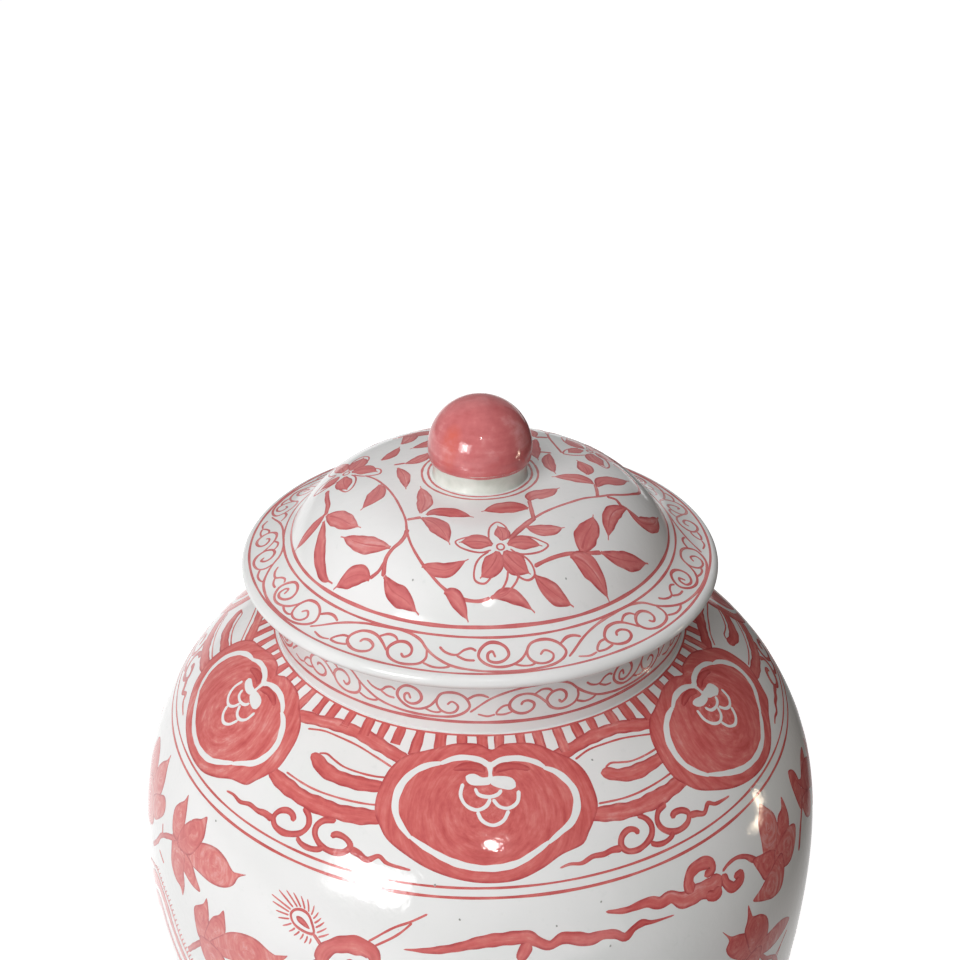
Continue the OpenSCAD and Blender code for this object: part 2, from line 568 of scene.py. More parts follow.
def through(points, step, closed=False):
    """A smooth curve through rows of (x, y, width), resampled about every step mm."""
    p = np.asarray(points, float)
    if closed:
        p = np.concatenate([p[-1:], p, p[:2]])
    else:
        p = np.concatenate([2 * p[:1] - p[1:2], p, 2 * p[-1:] - p[-2:-1]])
    gap = np.maximum(np.hypot(*np.diff(p[:, :2], axis=0).T), 1e-6)
    t = np.concatenate([[0], np.cumsum(gap ** 0.5)])
    rows = []
    for i in range(1, len(p) - 2):
        t0, t1, t2, t3 = t[i - 1:i + 3]
        n = max(3, int(gap[i] / step) + 1)
        x = np.linspace(t1, t2, n, endpoint=False)[:, None]
        a1 = (t1 - x) / (t1 - t0) * p[i - 1] + (x - t0) / (t1 - t0) * p[i]
        a2 = (t2 - x) / (t2 - t1) * p[i] + (x - t1) / (t2 - t1) * p[i + 1]
        a3 = (t3 - x) / (t3 - t2) * p[i + 1] + (x - t2) / (t3 - t2) * p[i + 2]
        b1 = (t2 - x) / (t2 - t0) * a1 + (x - t0) / (t2 - t0) * a2
        b2 = (t3 - x) / (t3 - t1) * a2 + (x - t1) / (t3 - t1) * a3
        rows.append((t2 - x) / (t2 - t1) * b1 + (x - t1) / (t2 - t1) * b2)
    if not closed:
        rows.append(p[-2:-1])
    return np.concatenate(rows)


class Canvas:
    """Collects brush strokes for one piece.

    plan is "top" for (x, y) seen from above, or "band" for (azimuth in degrees, s in mm)."""

    def __init__(self, name, surface, plan="band", material=None, slot="coral_enamel", lift=FILM):
        self.name = name
        self.surface = surface
        self.plan = plan
        self.material = material or (CORAL if surface is JAR else PALE_CORAL)
        self.slot = slot
        self.lift = lift
        self.verts = []
        self.faces = []
        self.data = {"run": [], "side": [], "edge": [], "tone": []}
        self.count = 0

    def scale(self, v):
        """Millimetres per unit of the first chart coordinate."""
        if self.plan == "top":
            return np.ones_like(np.asarray(v, float))
        return np.radians(1) * self.surface.radius(v)

    def flat(self, points, widths=0.0):
        """Chart points as rows of (x, y, width) in mm, and the scale of x."""
        p = np.asarray(points, float)
        k = float(np.mean(self.scale(p[:, 1])))
        return np.column_stack([p[:, 0] * k, p[:, 1], np.zeros(len(p)) + widths]), k

    def place(self, u, v, lift):
        if self.plan == "top":
            return self.surface.at(np.degrees(np.arctan2(u, -v)), np.hypot(u, v), lift)
        return self.surface.at(u, v, lift)

    def add(self, points, faces, run, side, edge, tone):
        base = sum(len(v) for v in self.verts)
        self.verts.append(points)
        self.faces.extend([tuple(int(k) + base for k in f) for f in faces])
        tones = np.full(len(points), tone)
        for key, values in (("run", run), ("side", side), ("edge", edge), ("tone", tones)):
            self.data[key].append(values)

    def next_layer(self):
        """Overlapping strokes lie at slightly different heights, as laid paint does."""
        self.count += 1
        return self.lift + 0.004 * (self.count % 6)

    def strip(self, u, v, w, closed, tone, above=0.0):
        """A closed film of width w along a chart line."""
        k = self.scale(v)
        x = u * k if self.plan == "top" else np.concatenate([[0], np.cumsum(np.diff(u) * k[1:])])
        if closed:
            du = np.roll(u, -1) - np.roll(u, 1)
            dv = np.roll(v, -1) - np.roll(v, 1)
            if self.plan == "band":
                du = ((du + 180) % 360 - 180) * k
        else:
            du = np.gradient(x)
            dv = np.gradient(v)
        size = np.maximum(np.hypot(du, dv), 1e-9)
        cross_u = -dv / size / k
        cross_v = du / size
        f = np.linspace(-1, 1, 2 * int(math.ceil(w.max() / 3)) + 1)
        half = w[:, None] / 2
        uu = u[:, None] + cross_u[:, None] * half * f
        vv = v[:, None] + cross_v[:, None] * half * f
        top = self.place(uu, vv, self.next_layer() + above)
        low = self.place(uu[:, ::-1], vv[:, ::-1], SUNK)
        grid = np.concatenate([top, low], 1)
        n, c = grid.shape[:2]
        run = np.repeat(path_length(x, v), c)
        side = np.concatenate([half * f, half * f[::-1]], 1).ravel()
        narrow = np.clip(1.2 - half, 0, 1)
        inward = half * (1 - abs(f)) + narrow
        edge = np.concatenate([inward, inward[:, ::-1]], 1).ravel()
        faces = []
        for i in range(n if closed else n - 1):
            a = i * c
            b = (i + 1) % n * c
            for j in range(c):
                q = (j + 1) % c
                faces.append((a + j, b + j, b + q, a + q))
        if not closed:
            faces.append(tuple(range(c)))
            faces.append(tuple((n - 1) * c + j for j in range(c)))
        self.add(grid.reshape(-1, 3), faces, run, side, edge, tone)

    def stroke(self, points, widths=1.0, closed=False, tone=None, fine=None, blunt=False):
        """A brush stroke through chart points. widths is one width, or one for each point."""
        flat, k = self.flat(points, widths)
        step = fine or min(1.1, 0.45 + 0.1 * float(flat[:, 2].max()))
        x, v, w = through(flat, step, closed).T
        w = np.maximum(w, 0.12)
        phase = rng.random() * 6.28
        along = path_length(x, v)
        w = w * (1 + 0.07 * np.sin(along / 2.9 + phase) + 0.05 * np.sin(along / 1.1 + 2 * phase))
        if not closed and not blunt:
            reach = np.maximum(w / 2, 0.05)
            near = np.minimum(along, along[-1] - along)
            w = w * np.sqrt(np.clip(1 - (1 - np.clip(near / reach, 0, 1)) ** 2, 0.02, 1))
        self.strip(x / k, v, w, closed, rng.uniform(-0.5, 0.5) if tone is None else tone)

    def leaf(self, points, width, tone=None):
        """A leaf laid in one press of the brush, from its base through any bends to its tip."""
        p = np.asarray(points, float)
        k = float(np.mean(self.scale(p[:, 1])))
        if len(p) == 2:
            reach = (p[1] - p[0]) * [k, 1]
            bow = rng.uniform(0.10, 0.18) * rng.choice((-1, 1))
            aside = bow * np.array([-reach[1] / k, reach[0]])
            t = np.linspace(0, 1, 7)[:, None]
            p = p[0] + (p[1] - p[0]) * t + aside * (4 * t * (1 - t)) * (1 - 0.5 * t)
        rows = through(np.column_stack([p[:, 0] * k, p[:, 1], 0 * p[:, 0]]), 0.8)
        along = path_length(rows[:, 0], rows[:, 1])
        f = along / along[-1]
        w = width * np.clip(np.sin(np.pi * np.clip(f / 0.93, 0, 1) ** 0.92), 0, 1) ** 0.80
        stalk = np.clip(1 - f / 0.22, 0, 1) ** 0.5
        w = np.maximum(w, 0.14 * width * stalk + 0.45)
        phase = rng.random() * 6.28
        w = w * (1 + 0.05 * np.sin(along / 2.1 + phase) + 0.03 * np.sin(along / 0.9 + phase))
        tone = rng.uniform(-0.6, 0.4) if tone is None else tone
        self.strip(rows[:, 0] / k, rows[:, 1], w, False, tone)
        if width > 5:
            rib = rows[(f > 0.08) & (f < 0.78)][::2]
            thin = np.linspace(0.9, 0.3, len(rib)) * min(1.0, width / 10)
            self.strip(rib[:, 0] / k, rib[:, 1], thin, False, 0.8, 0.03)

    def ring(self, s, width, steps=480, sway=0.12):
        """A painted line right round the piece."""
        az = np.arange(steps) * 360 / steps
        phase = rng.random() * 6.28
        a = np.radians(az)
        level = s + sway * (np.sin(3 * a + phase) + 0.6 * np.sin(8 * a + 2 * phase))
        w = width * (1 + 0.10 * np.sin(13 * a + phase) + 0.08 * np.sin(31 * a + 3 * phase))
        if self.plan == "top":
            self.strip(level * np.sin(a), -level * np.cos(a), w, True, 0.2)
        else:
            self.strip(az, level, w, True, 0.2)

    def blob(self, outline, centre, tone=None, spacing=1.5):
        """A filled shape that its centre sees all of, brushed round in rings."""
        k = float(self.scale(centre[1]))
        p = np.asarray(outline, float)
        rows = through(np.column_stack([p[:, 0] * k, p[:, 1], 0 * p[:, 0]]), spacing, True)
        x = rows[:, 0] - centre[0] * k
        y = rows[:, 1] - centre[1]
        reach = np.hypot(x, y)
        n = len(x)
        rings = max(3, int(reach.max() / (2 * spacing)) + 2)
        t = np.concatenate([np.linspace(0, 1, rings)[1:-1], [0.985, 1.0]])
        turn_at = np.unwrap(np.arctan2(y, x)) * reach.mean()
        u = np.concatenate([[centre[0]], (centre[0] + np.outer(t, x) / k).ravel()])
        v = np.concatenate([[centre[1]], (centre[1] + np.outer(t, y)).ravel()])
        sheets = [self.place(u, v, lift) for lift in (self.next_layer(), SUNK)]
        size = len(u)
        faces = []
        for base in (0, size):
            for j in range(n):
                q = (j + 1) % n
                faces.append((base, base + 1 + j, base + 1 + q))
                for i in range(len(t) - 1):
                    a = base + 1 + i * n
                    c = a + n
                    faces.append((a + j, c + j, c + q, a + q))
        last = 1 + (len(t) - 1) * n
        for j in range(n):
            q = (j + 1) % n
            faces.append((last + j, size + last + j, size + last + q, last + q))
        away = np.concatenate([[0], np.outer(t, reach).ravel()])
        run = np.concatenate([[0], np.tile(turn_at, len(t))])
        edge = np.concatenate([[reach.mean()], np.outer(1 - t, reach).ravel()])
        self.add(np.concatenate(sheets), faces, np.tile(run, 2), np.tile(away, 2), np.tile(edge, 2),
                 rng.uniform(-0.3, 0.3) if tone is None else tone)

    def finish(self):
        piece = make_piece(self.name, self.surface.body, [self.material],
                           np.concatenate(self.verts), self.faces, sharp=50)
        for key, parts in self.data.items():
            attribute = piece.data.attributes.new(key, "FLOAT", "POINT")
            attribute.data.foreach_set("value", np.concatenate(parts).astype(np.float32))


def finish_all(*canvases):
    for canvas in canvases:
        canvas.finish()


# ---------------------------------------------------------------- lid painting

# Chart of the lid seen from above: x to the right, y away from the front, in mm.
VINE_LEFT = [(-50, 0), (-45, -5), (-40, -13), (-36, -22), (-33, -31), (-30.5, -40), (-29.5, -48),
             (-27.5, -55), (-24, -62), (-20, -67.5), (-15, -72.5), (-10, -75.5), (-5, -77), (0, -77.3),
             (4, -76.5)]
VINE_RIGHT = [(22, -40), (26, -35.5), (31, -31), (37, -26.5), (44, -21.5), (50, -18.5), (56, -14.5),
              (62, -10.5), (67, -5), (70, 0), (70, 8), (66, 15), (60, 20)]
LID_TWIGS = [
    ([(4, -76.5), (8, -74.5), (10.5, -71), (11, -68)], 0.8),
    ([(4, -76.5), (10, -75), (14, -71.5), (15.5, -68.5)], 0.8),
    ([(-66.5, -3), (-66, -10), (-65, -16), (-65.5, -22)], 2.0),
    ([(-29.5, -46), (-30.2, -49.5), (-32, -52.5), (-35, -54.8), (-37.6, -58), (-38.5, -64)], 1.8),
    ([(-38, -59), (-40.5, -61.5), (-44, -62.3)], 1.3),
    ([(-30, -40), (-27, -39.5), (-24, -39)], 1.8),
    ([(-38, 8), (-33, 9.5)], 1.2),
    ([(12, -54), (15, -49.5), (19, -44), (22.5, -39.5)], 2.5),
    ([(22, -40), (21.5, -36), (21, -31), (20.5, -26)], 1.8),
    ([(21.5, -65), (26, -62), (31, -59), (36, -56.5), (40, -55), (45, -53), (49, -51)], 1.5),
    ([(50, -19), (50, -13), (49.5, -8)], 1.5),
    ([(54, -17), (58, -17), (60, -20), (62, -20)], 1.5),
    ([(22, 20), (27, 20.8), (32, 20)], 1.3),
]
LID_LEAVES = [
    ([(-43, -10), (-50, -28.5)], 7.5),
    ([(-66, -21), (-79.5, -24.5)], 6),
    ([(-65, -22.5), (-58, -30), (-54, -35), (-49, -39.5)], 8),
    ([(-66, -25), (-66.5, -40), (-64, -50), (-60, -55)], 5),
    ([(-36, -54), (-47, -48.5), (-57.5, -39.5)], 7),
    ([(-44, -62.5), (-59.5, -57)], 6.5),
    ([(-38, -64), (-35, -69), (-29, -73.5), (-24, -78)], 5.5),
    ([(-24.5, -36), (-23, -27), (-24, -20), (-25.5, -13)], 7),
    ([(-22, -37.5), (-19, -35.5), (-12, -36), (-2.5, -40)], 7),
    ([(-24, -39.5), (-12, -57)], 8),
    ([(-23, -64.5), (-13, -67.5), (-4.5, -64)], 5.5),
    ([(-14, -74), (-4.5, -82)], 5),
    ([(-36, 5), (-33, -3), (-31.5, -15.5)], 5.5),
    ([(-44, 14), (-36.5, 28)], 5),
    ([(-33, 9), (-22, 21)], 6),
    ([(-36, 31), (-33, 49)], 7),
    ([(20, -32.5), (0.5, -35.5)], 9.5),
    ([(20.5, -26), (22, -22), (28, -19), (34, -14)], 8),
    ([(19, -46), (34.5, -44)], 7),
    ([(40.5, -55), (43, -46), (46, -39), (47, -32.5)], 9.5),
    ([(49, -51), (70, -40.5)], 6),
    ([(36, -57.5), (52, -65)], 9),
    ([(21.5, -68), (37, -72.5)], 6),
    ([(4.5, -76.5), (21.5, -78)], 4),
    ([(49, -8), (31, -4)], 7.5),
    ([(47, 0), (43, 14)], 7),
    ([(50.5, -10), (53, -4), (60, 0), (66, 6)], 7),
    ([(62.5, -20), (52.5, -44)], 7),
    ([(62, -20), (68, -23.5), (74, -18), (78, -7)], 6),
    ([(31, 19), (33, -1)], 6),
]
# Each petal: its filled core and the line drawn round it, about the front flower's centre.
FLOWER = (8.2, -58.3)
PETALS = [
    ([(8.5, -55), (7, -46)], 5,
     [(3.5, -54), (3.5, -50), (4.3, -46.5), (7, -43.5), (10, -46), (11.3, -50), (11.5, -54)]),
    ([(11, -57), (25, -56)], 5.5,
     [(12, -54.5), (15, -52.3), (20, -52), (24, -53.3), (27.3, -55), (25, -58), (20, -60.3), (15, -60.8),
      (12, -59)]),
    ([(10, -60), (20, -68)], 7,
     [(12, -60.5), (17, -61.5), (20.5, -64.5), (21.5, -68), (19, -70), (15, -69.3), (9, -64)]),
    ([(7, -60.5), (0, -71)], 6.5,
     [(8, -63), (6, -68), (2, -72.5), (-2, -71.5), (-2, -67), (0, -63.5), (3.5, -60.8)]),
    ([(5, -57.5), (-8.5, -56)], 6,
     [(4, -54.2), (-3, -53), (-9.8, -55.5), (-8.5, -58), (-3.5, -60.6), (1, -61.2), (4.5, -60)]),
]


def about(centre, home, spin, grow=1.0):
    """Carries points drawn about home to another centre on the lid, turned by spin degrees."""
    c, s = math.cos(math.radians(spin)), math.sin(math.radians(spin))

    def move(points):
        p = (np.asarray(points, float) - home) * grow
        return np.stack([p[:, 0] * c - p[:, 1] * s, p[:, 0] * s + p[:, 1] * c], -1) + centre
    return move


def paint_flower(canvas, move):
    for core, width, line in PETALS:
        canvas.leaf(move(core), 1.3 * width, tone=-0.1)
        canvas.stroke(move(line), 0.75, tone=0.3)
    eye_r = 1.5
    eye = [(FLOWER[0] + eye_r * math.cos(a), FLOWER[1] + eye_r * math.sin(a))
           for a in np.arange(0, 6.2, 0.9)]
    canvas.stroke(move(eye), 0.7, closed=True)


def paint_lid_top():
    vines = Canvas("lid_vines", LID, "top")
    vines.stroke(VINE_LEFT, 1.0)
    vines.stroke(VINE_RIGHT, 1.2)
    for points, width in LID_TWIGS:
        vines.stroke(points, width)
    leaves = Canvas("lid_leaves", LID, "top")
    for points, width in LID_LEAVES:
        leaves.leaf(points, width)
    # The back of the lid is out of sight in the photo; it repeats the left vine, turned round.
    for spin in (178, 236):
        spun = about((0, 0), (0, 0), spin)
        vines.stroke(spun(VINE_LEFT[3:12]), 1.0)
        for points, width in LID_LEAVES[7:12]:
            leaves.leaf(spun(points), 0.95 * width)
        for points, width in LID_TWIGS[3:6]:
            vines.stroke(spun(points), width)
    flowers = Canvas("lid_flowers", LID, "top")
    for centre, spin in ((FLOWER, 0), ((-59, 7), 104), ((50, 28), 118), ((-8, 60), 172)):
        paint_flower(flowers, about(centre, FLOWER, spin))
    lines = Canvas("lid_lines", LID, "top")
    for radius, width in ((22.6, 1.0), (25.3, 1.0), (83.3, 0.9), (86.6, 0.9), (102.0, 1.0)):
        lines.ring(radius, width)
    finish_all(vines, leaves, flowers, lines)


# ---------------------------------------------------------------- scroll bands, brim and neck

# One repeat of the scroll. First number in 65ths of the repeat, second the radius on the brim.
SCROLL_LENGTH = 65
SCROLL = [
    ([(0, 98), (6, 91.5), (12, 88.2), (19, 86.9), (25, 87), (29, 89), (31.5, 92.5), (34, 95.3),
      (38, 98.5), (43, 100.2), (48, 101), (56, 101), (61, 100), (64, 97.5), (65, 95), (64, 91.5),
      (62, 89.5), (59.5, 89), (57, 90), (55.8, 92.5), (55.7, 95), (56.8, 97.8), (59, 98.9), (61, 97.8),
      (61.7, 95.5), (60.8, 93.8), (59.8, 93.4), (58.6, 95)], 1.1),
    ([(25.5, 95.5), (26.5, 97), (27.8, 95.5), (27.7, 93), (26, 91), (23.5, 91.5), (22, 94.5), (23, 98),
      (25.5, 100), (28.5, 100), (30.8, 98.5), (31.7, 96), (31.4, 92.5)], 1.2),
    ([(14.5, 95.5), (15, 94), (16.5, 93.6), (18.2, 95.3), (18, 97.5), (16, 99.3), (13.5, 99),
      (11.4, 96.5), (11.3, 94), (13, 91.2), (15.5, 90.3), (18, 91), (20, 93), (22, 96)], 1.2),
    ([(18.4, 91), (20.5, 89.3), (22.5, 89.6), (23.8, 91.3)], 1.0),
    ([(7.2, 99), (5, 99.8), (2.2, 98.8)], 0.9),
    ([(-0.8, 92), (1.5, 90), (3.5, 89.8), (5.5, 91)], 1.1),
    ([(48, 94.5), (47.3, 92), (46.3, 92.8), (46.3, 95.5), (48, 96.7), (50, 95.8), (51.2, 93.5),
      (50.8, 90.8), (49, 88.8), (46.5, 88.6), (44.5, 91), (44, 94), (45.5, 97), (48, 98.7), (51, 98.4),
      (53.5, 96.5), (54.8, 94.5), (55.8, 92.3)], 1.2),
]
SCROLL_LOOPS = [
    [(11.2, 94.8), (9.5, 95.2), (8, 97), (7.3, 98.8)], [(7.3, 99), (9.5, 99.2), (12, 98.2)],
    [(31.3, 98.3), (34, 99.8), (36.5, 99.5), (37.8, 98.5)],
    [(34.3, 90.8), (36, 92.8), (38.7, 93.6), (40.5, 91.5), (42.2, 90.8), (43.5, 91.8)],
    [(38.7, 93.8), (41, 95.5), (43.2, 95.7)],
    [(52, 97.7), (54, 98.9), (56, 99), (57, 98.2)]]
BRIM_STARTS = (-44, 20.5, 83, 142, 200, 258, 316)
NECK_STARTS = (-59, -2.5, 54, 115, 177, 239, 301)
BRIM_IN, BRIM_OUT = 86.6, 102.0
NECK_TOP, NECK_BOTTOM = 13.5, 29.0


def paint_scrolls(name, surface, starts, level):
    canvas = Canvas(name, surface)
    for start, end in zip(starts[:-1], starts[1:]):
        stretch = (end - start) / SCROLL_LENGTH

        def laid(points):
            p = np.asarray(points, float)
            return np.stack([start + stretch * p[:, 0], level(p[:, 1])], -1)
        for points, width in SCROLL:
            swell = width * (0.72 + 0.32 * np.sin(np.linspace(0.3, 2.9, len(points))))
            canvas.stroke(laid(points), swell, tone=rng.uniform(-0.7, 0.2), fine=0.45)
        for points in SCROLL_LOOPS:
            canvas.stroke(laid(points), 0.95, tone=rng.uniform(-0.7, 0.2), fine=0.45)
    canvas.finish()


def neck_level(radius):
    return NECK_TOP + (radius - BRIM_IN) * (NECK_BOTTOM - NECK_TOP) / (BRIM_OUT - BRIM_IN)


def paint_bands():
    paint_scrolls("brim_scroll", LID, BRIM_STARTS, lambda radius: radius)
    paint_scrolls("neck_scroll", NECK, NECK_STARTS, neck_level)
    lines = Canvas("neck_lines", NECK)
    lines.ring(NECK_TOP - 1.6, 0.8)
    lines.ring(NECK_BOTTOM + 0.9, 1.4)
    skirt = Canvas("knob_edge", COLLAR, material=KNOB)
    skirt.ring(0.62, 1.3, 240, 0.22)
    finish_all(lines, skirt)


# ---------------------------------------------------------------- shoulder painting

# Chart of the jar: azimuth in degrees and distance in mm down the outline from the neck's foot.
MEDALLIONS = (1.2, 59, 118, 178, 238, 298)
BORDER = [(2.7, 6.8), (0, 4.5), (-3, 4), (-6, 4.6), (-9.5, 6.8), (-12.5, 9), (-16, 11.8), (-18.6, 18),
          (-19.5, 25), (-19.6, 32), (-19, 37), (-17.8, 40.5), (-16, 45), (-12, 50), (-8, 54), (-3, 57),
          (1, 58), (6, 57.3), (10, 54), (13.5, 50), (17.5, 47.5), (18.8, 44), (20.3, 40), (21.8, 35),
          (22.1, 28), (21.6, 21), (20, 15.5), (16.3, 10), (14, 7), (11.5, 5.2), (8, 4.5), (5, 4.8)]
WHITE_RING = [
    ([(1.9, 13.6), (0.4, 11.6), (-2.5, 10.3), (-5.6, 10.9), (-8.6, 13.6)], [2.4, 2.4, 2.5, 2.3, 1.3]),
    ([(-8.2, 13.2), (-10.8, 14.6), (-13.4, 17.8), (-15.3, 23), (-15.9, 29), (-15.4, 34.5), (-14, 39),
      (-11.7, 43.6)], [1.3, 2.3, 2.7, 2.9, 2.9, 2.7, 2.3, 1.2]),
    ([(-12, 42.8), (-8.6, 46.6), (-3.8, 50.9), (1, 52.6), (5.7, 51.4), (9, 48), (11.8, 44.4)],
     [1.2, 2.3, 2.5, 2.5, 2.5, 2.3, 1.2]),
    ([(11.4, 45.2), (13.6, 42.2), (16.4, 38.4), (18, 32.7), (18.2, 27), (17.1, 22.2), (15.4, 18.4),
      (13.1, 16)], [1.2, 2.2, 2.7, 2.9, 2.9, 2.7, 2.2, 1.3]),
    ([(13.7, 16.4), (12.2, 13.9), (9.6, 11.7), (7.3, 11), (4.4, 11.6), (2, 13.8)],
     [1.3, 2.2, 2.4, 2.4, 2.4, 2.4])]
FIELD_CENTRE = (1.2, 31)
RUYI_STROKES = [
    ([(1.95, 12), (2.1, 15), (2.1, 17.5), (2.2, 20)], [4.2, 2.0, 1.7, 4.2]),
    ([(2.3, 19.6), (0.4, 19.9), (-1.6, 19.0), (-2.9, 18.0)], [3.2, 3.6, 4.2, 2.2]),
    ([(1.9, 19.4), (3.8, 20.2), (5.6, 21.0), (7.0, 22.6)], [3.2, 4.6, 5.8, 3.0]),
]
SCALES = [
    [(-1, 22.5), (-0.3, 25), (1.8, 26), (3.5, 25), (4.2, 23.3)],
    [(-3.4, 20.8), (-3.7, 25.5), (-2.6, 29.3), (-0.6, 31), (1.1, 29.6), (2.0, 26.6)],
    [(2.4, 26.9), (3.6, 29.8), (5.3, 30.6), (7.0, 28.5), (7.5, 24)],
    [(-0.5, 31.5), (0.4, 35), (2.3, 36.8), (4.1, 35.3), (5.3, 31.4)],
]
RUYI_CURLS = [
    [(-5.6, 15.6), (-3.6, 14.2), (-1.2, 13.8), (0.4, 14.9), (0.9, 16.4)],
    [(3.2, 16.6), (3.7, 15.1), (5.6, 14.1), (8.2, 14.6), (10.4, 16.2)]]

LINK_CENTRE = 30.1
LINK_SPAN = 57.8
LINK_BANDS = [
    ([(15.5, 13.6), (18, 12), (21, 10.6), (25, 8.8), (29, 8.2), (33, 8.6), (37, 10.4),
      (41, 12.8), (43.6, 14.5)],
     [5.2, 5.4, 5.4, 5.4, 5.4, 5.6, 5.6, 5.6, 5.0]),
    ([(18.8, 37), (21, 38.2), (24, 39.3), (28, 40.4), (33, 40.4), (37, 39.6), (40, 38.6), (42.2, 37.6)],
     [5.2, 5.8, 6.2, 6.4, 6.5, 6.3, 5.8, 5.2]),
    ([(24.6, 23.6), (26.0, 24.4), (28.3, 26.6), (31, 27.7), (34, 27.7), (38, 27.1), (41, 26.2)],
     [3.0, 5.0, 5.6, 5.8, 5.6, 5.0, 4.6]),
]
LINK_LINES = [
    ([(20.5, 15.5), (24, 13.2), (28.5, 12.8), (33, 13.5), (38, 16), (41, 18)], 0.8),
    ([(26, 22), (27.5, 21), (29.5, 22), (32, 23.2), (38.2, 23.2), (41, 22.4)], 0.8),
    ([(22, 34.5), (28, 35.5), (33, 35.2), (38.7, 34.2), (41, 33.4)], 0.8),
]
LINK_CLOUD = [
    ([(28.3, 43), (29.8, 46), (30.2, 49), (29.5, 52.5), (27.5, 55), (26, 55.5), (24.5, 54.5),
      (23.8, 52), (24.3, 49), (25.8, 47.2), (27, 48), (27.5, 50)], 2.5),
    ([(34.5, 43.5), (32.5, 45), (31.6, 48), (31.8, 51), (33.2, 54), (35.2, 55), (37.2, 53.8), (38, 51),
      (37, 48.8), (35.3, 48.3), (34.4, 49.7)], 2.5),
    ([(29, 54.8), (30, 56.3), (31.5, 56.8), (33, 56), (33.8, 54.5)], 2.2),
]
CLOUD_TAILS = [
    [(23.8, 53), (22, 52.6), (20.5, 53.2), (18.5, 53), (16.5, 54.5), (14.5, 54), (12.8, 54.8)],
    [(38, 52), (39.5, 52.8), (41, 54.3), (42.7, 52), (44, 53.8), (46, 54.6), (47.8, 55)],
]
COMB_TEETH = 76
FIELD_TOP, FIELD_TOP_2 = 59.7, 63.6


def turned_to(points, degrees):
    return np.asarray(points, float) + [degrees, 0]


def spread(points, middle, stretch):
    """Carries a link's points to the gap centred on middle, stretched to its width."""
    p = np.asarray(points, float)
    return np.stack([middle + (p[:, 0] - LINK_CENTRE) * stretch, p[:, 1]], -1)


def paint_medallions():
    red = Canvas("medallions", JAR)
    white = Canvas("reserved_white", JAR, material=GLAZE, slot="jar_glaze", lift=RESERVED_LIFT)
    curls = Canvas("medallion_curls", JAR, lift=CURL_LIFT)
    for at in MEDALLIONS:
        shift = at - MEDALLIONS[0]
        red.blob(turned_to(BORDER, shift), (FIELD_CENTRE[0] + shift, FIELD_CENTRE[1]))
        for points, widths in WHITE_RING + RUYI_STROKES:
            white.stroke(turned_to(points, shift), widths)
        for points in SCALES:
            white.stroke(turned_to(points, shift), 1.4)
        for points in RUYI_CURLS:
            curls.stroke(turned_to(points, shift), [1.4, 3.0, 3.4, 2.8, 1.6], tone=0.9)
    finish_all(red, white, curls)


def paint_links():
    links = Canvas("link_bands", JAR, lift=LINK_LIFT)
    following = MEDALLIONS[1:] + (MEDALLIONS[0] + 360,)
    for at, nxt in zip(MEDALLIONS, following):
        middle = (at + nxt) / 2
        stretch = (nxt - at) / LINK_SPAN
        for points, widths in LINK_BANDS + LINK_LINES + LINK_CLOUD:
            links.stroke(spread(points, middle, stretch), widths)
        for points in CLOUD_TAILS:
            links.stroke(spread(points, middle, stretch), np.linspace(3.0, 0.8, len(points)))
    links.finish()


def tooth_end(az):
    """Where a tooth of the comb ends: soonest over a medallion, last at its sides."""
    near = min(abs((az - m + 180) % 360 - 180) for m in MEDALLIONS)
    if near < 8:
        return 7.0
    if near < 19:
        return 11.5
    return 8.5


def paint_comb():
    comb = Canvas("comb_band", JAR, lift=COMB_LIFT)
    for k in range(COMB_TEETH):
        az = k * 360 / COMB_TEETH + rng.uniform(-0.5, 0.5)
        end = tooth_end(az)
        lean = rng.uniform(-0.35, 0.35)
        width = rng.uniform(3.9, 4.7)
        comb.stroke([(az, 0.4), (az + 0.5 * lean, end / 2), (az + lean, end)],
                    [0.95 * width, width, width], tone=rng.uniform(-0.7, 0.3), blunt=True)
    lines = Canvas("shoulder_lines", JAR)
    for s, width in ((0.6, 0.8), (FIELD_TOP, 0.9), (FIELD_TOP_2, 1.1)):
        lines.ring(s, width)
    finish_all(comb, lines)


# ---------------------------------------------------------------- field of the body

# A spray is its centre, the outlines of its leaves, and its stems with their widths.
SPRAY_UPPER = ((-56, 90), [
    [(-58.5, 90), (-59.8, 85), (-60.2, 80), (-59.3, 76), (-58.2, 73), (-57.8, 69.5), (-57.2, 72),
     (-56.2, 77), (-55.7, 82), (-56, 90)],
    [(-56.5, 91), (-56.2, 83), (-55, 78), (-53.5, 74), (-52, 71.8), (-50.8, 69), (-50.3, 72), (-49.8, 77),
     (-50.5, 83), (-52.5, 90)],
    [(-55, 89), (-51.5, 82), (-49, 78.5), (-46, 76.5), (-43.5, 77.5), (-41.5, 80), (-40.3, 80),
     (-38.6, 78), (-40, 81), (-40.6, 85), (-42.5, 89), (-45.5, 91.5), (-49, 92), (-54, 92)],
    [(-56, 91), (-51.5, 91), (-49.5, 95), (-47.8, 99.5), (-49.5, 100.5), (-52, 99.5), (-55, 96)],
    [(-58.5, 89), (-58, 97), (-57.3, 103), (-55.3, 107), (-53.5, 107.8), (-52.7, 110.5), (-52.3, 105),
     (-53, 99), (-53.2, 94), (-54.5, 89)]],
    [([(-57, 90), (-60.5, 95), (-63, 100), (-64.5, 106), (-67, 113)], 2.5),
     ([(-63, 100), (-62.5, 97.5), (-63, 93.5)], 1.2), ([(-63, 107.5), (-60.5, 109.5)], 1.2)])
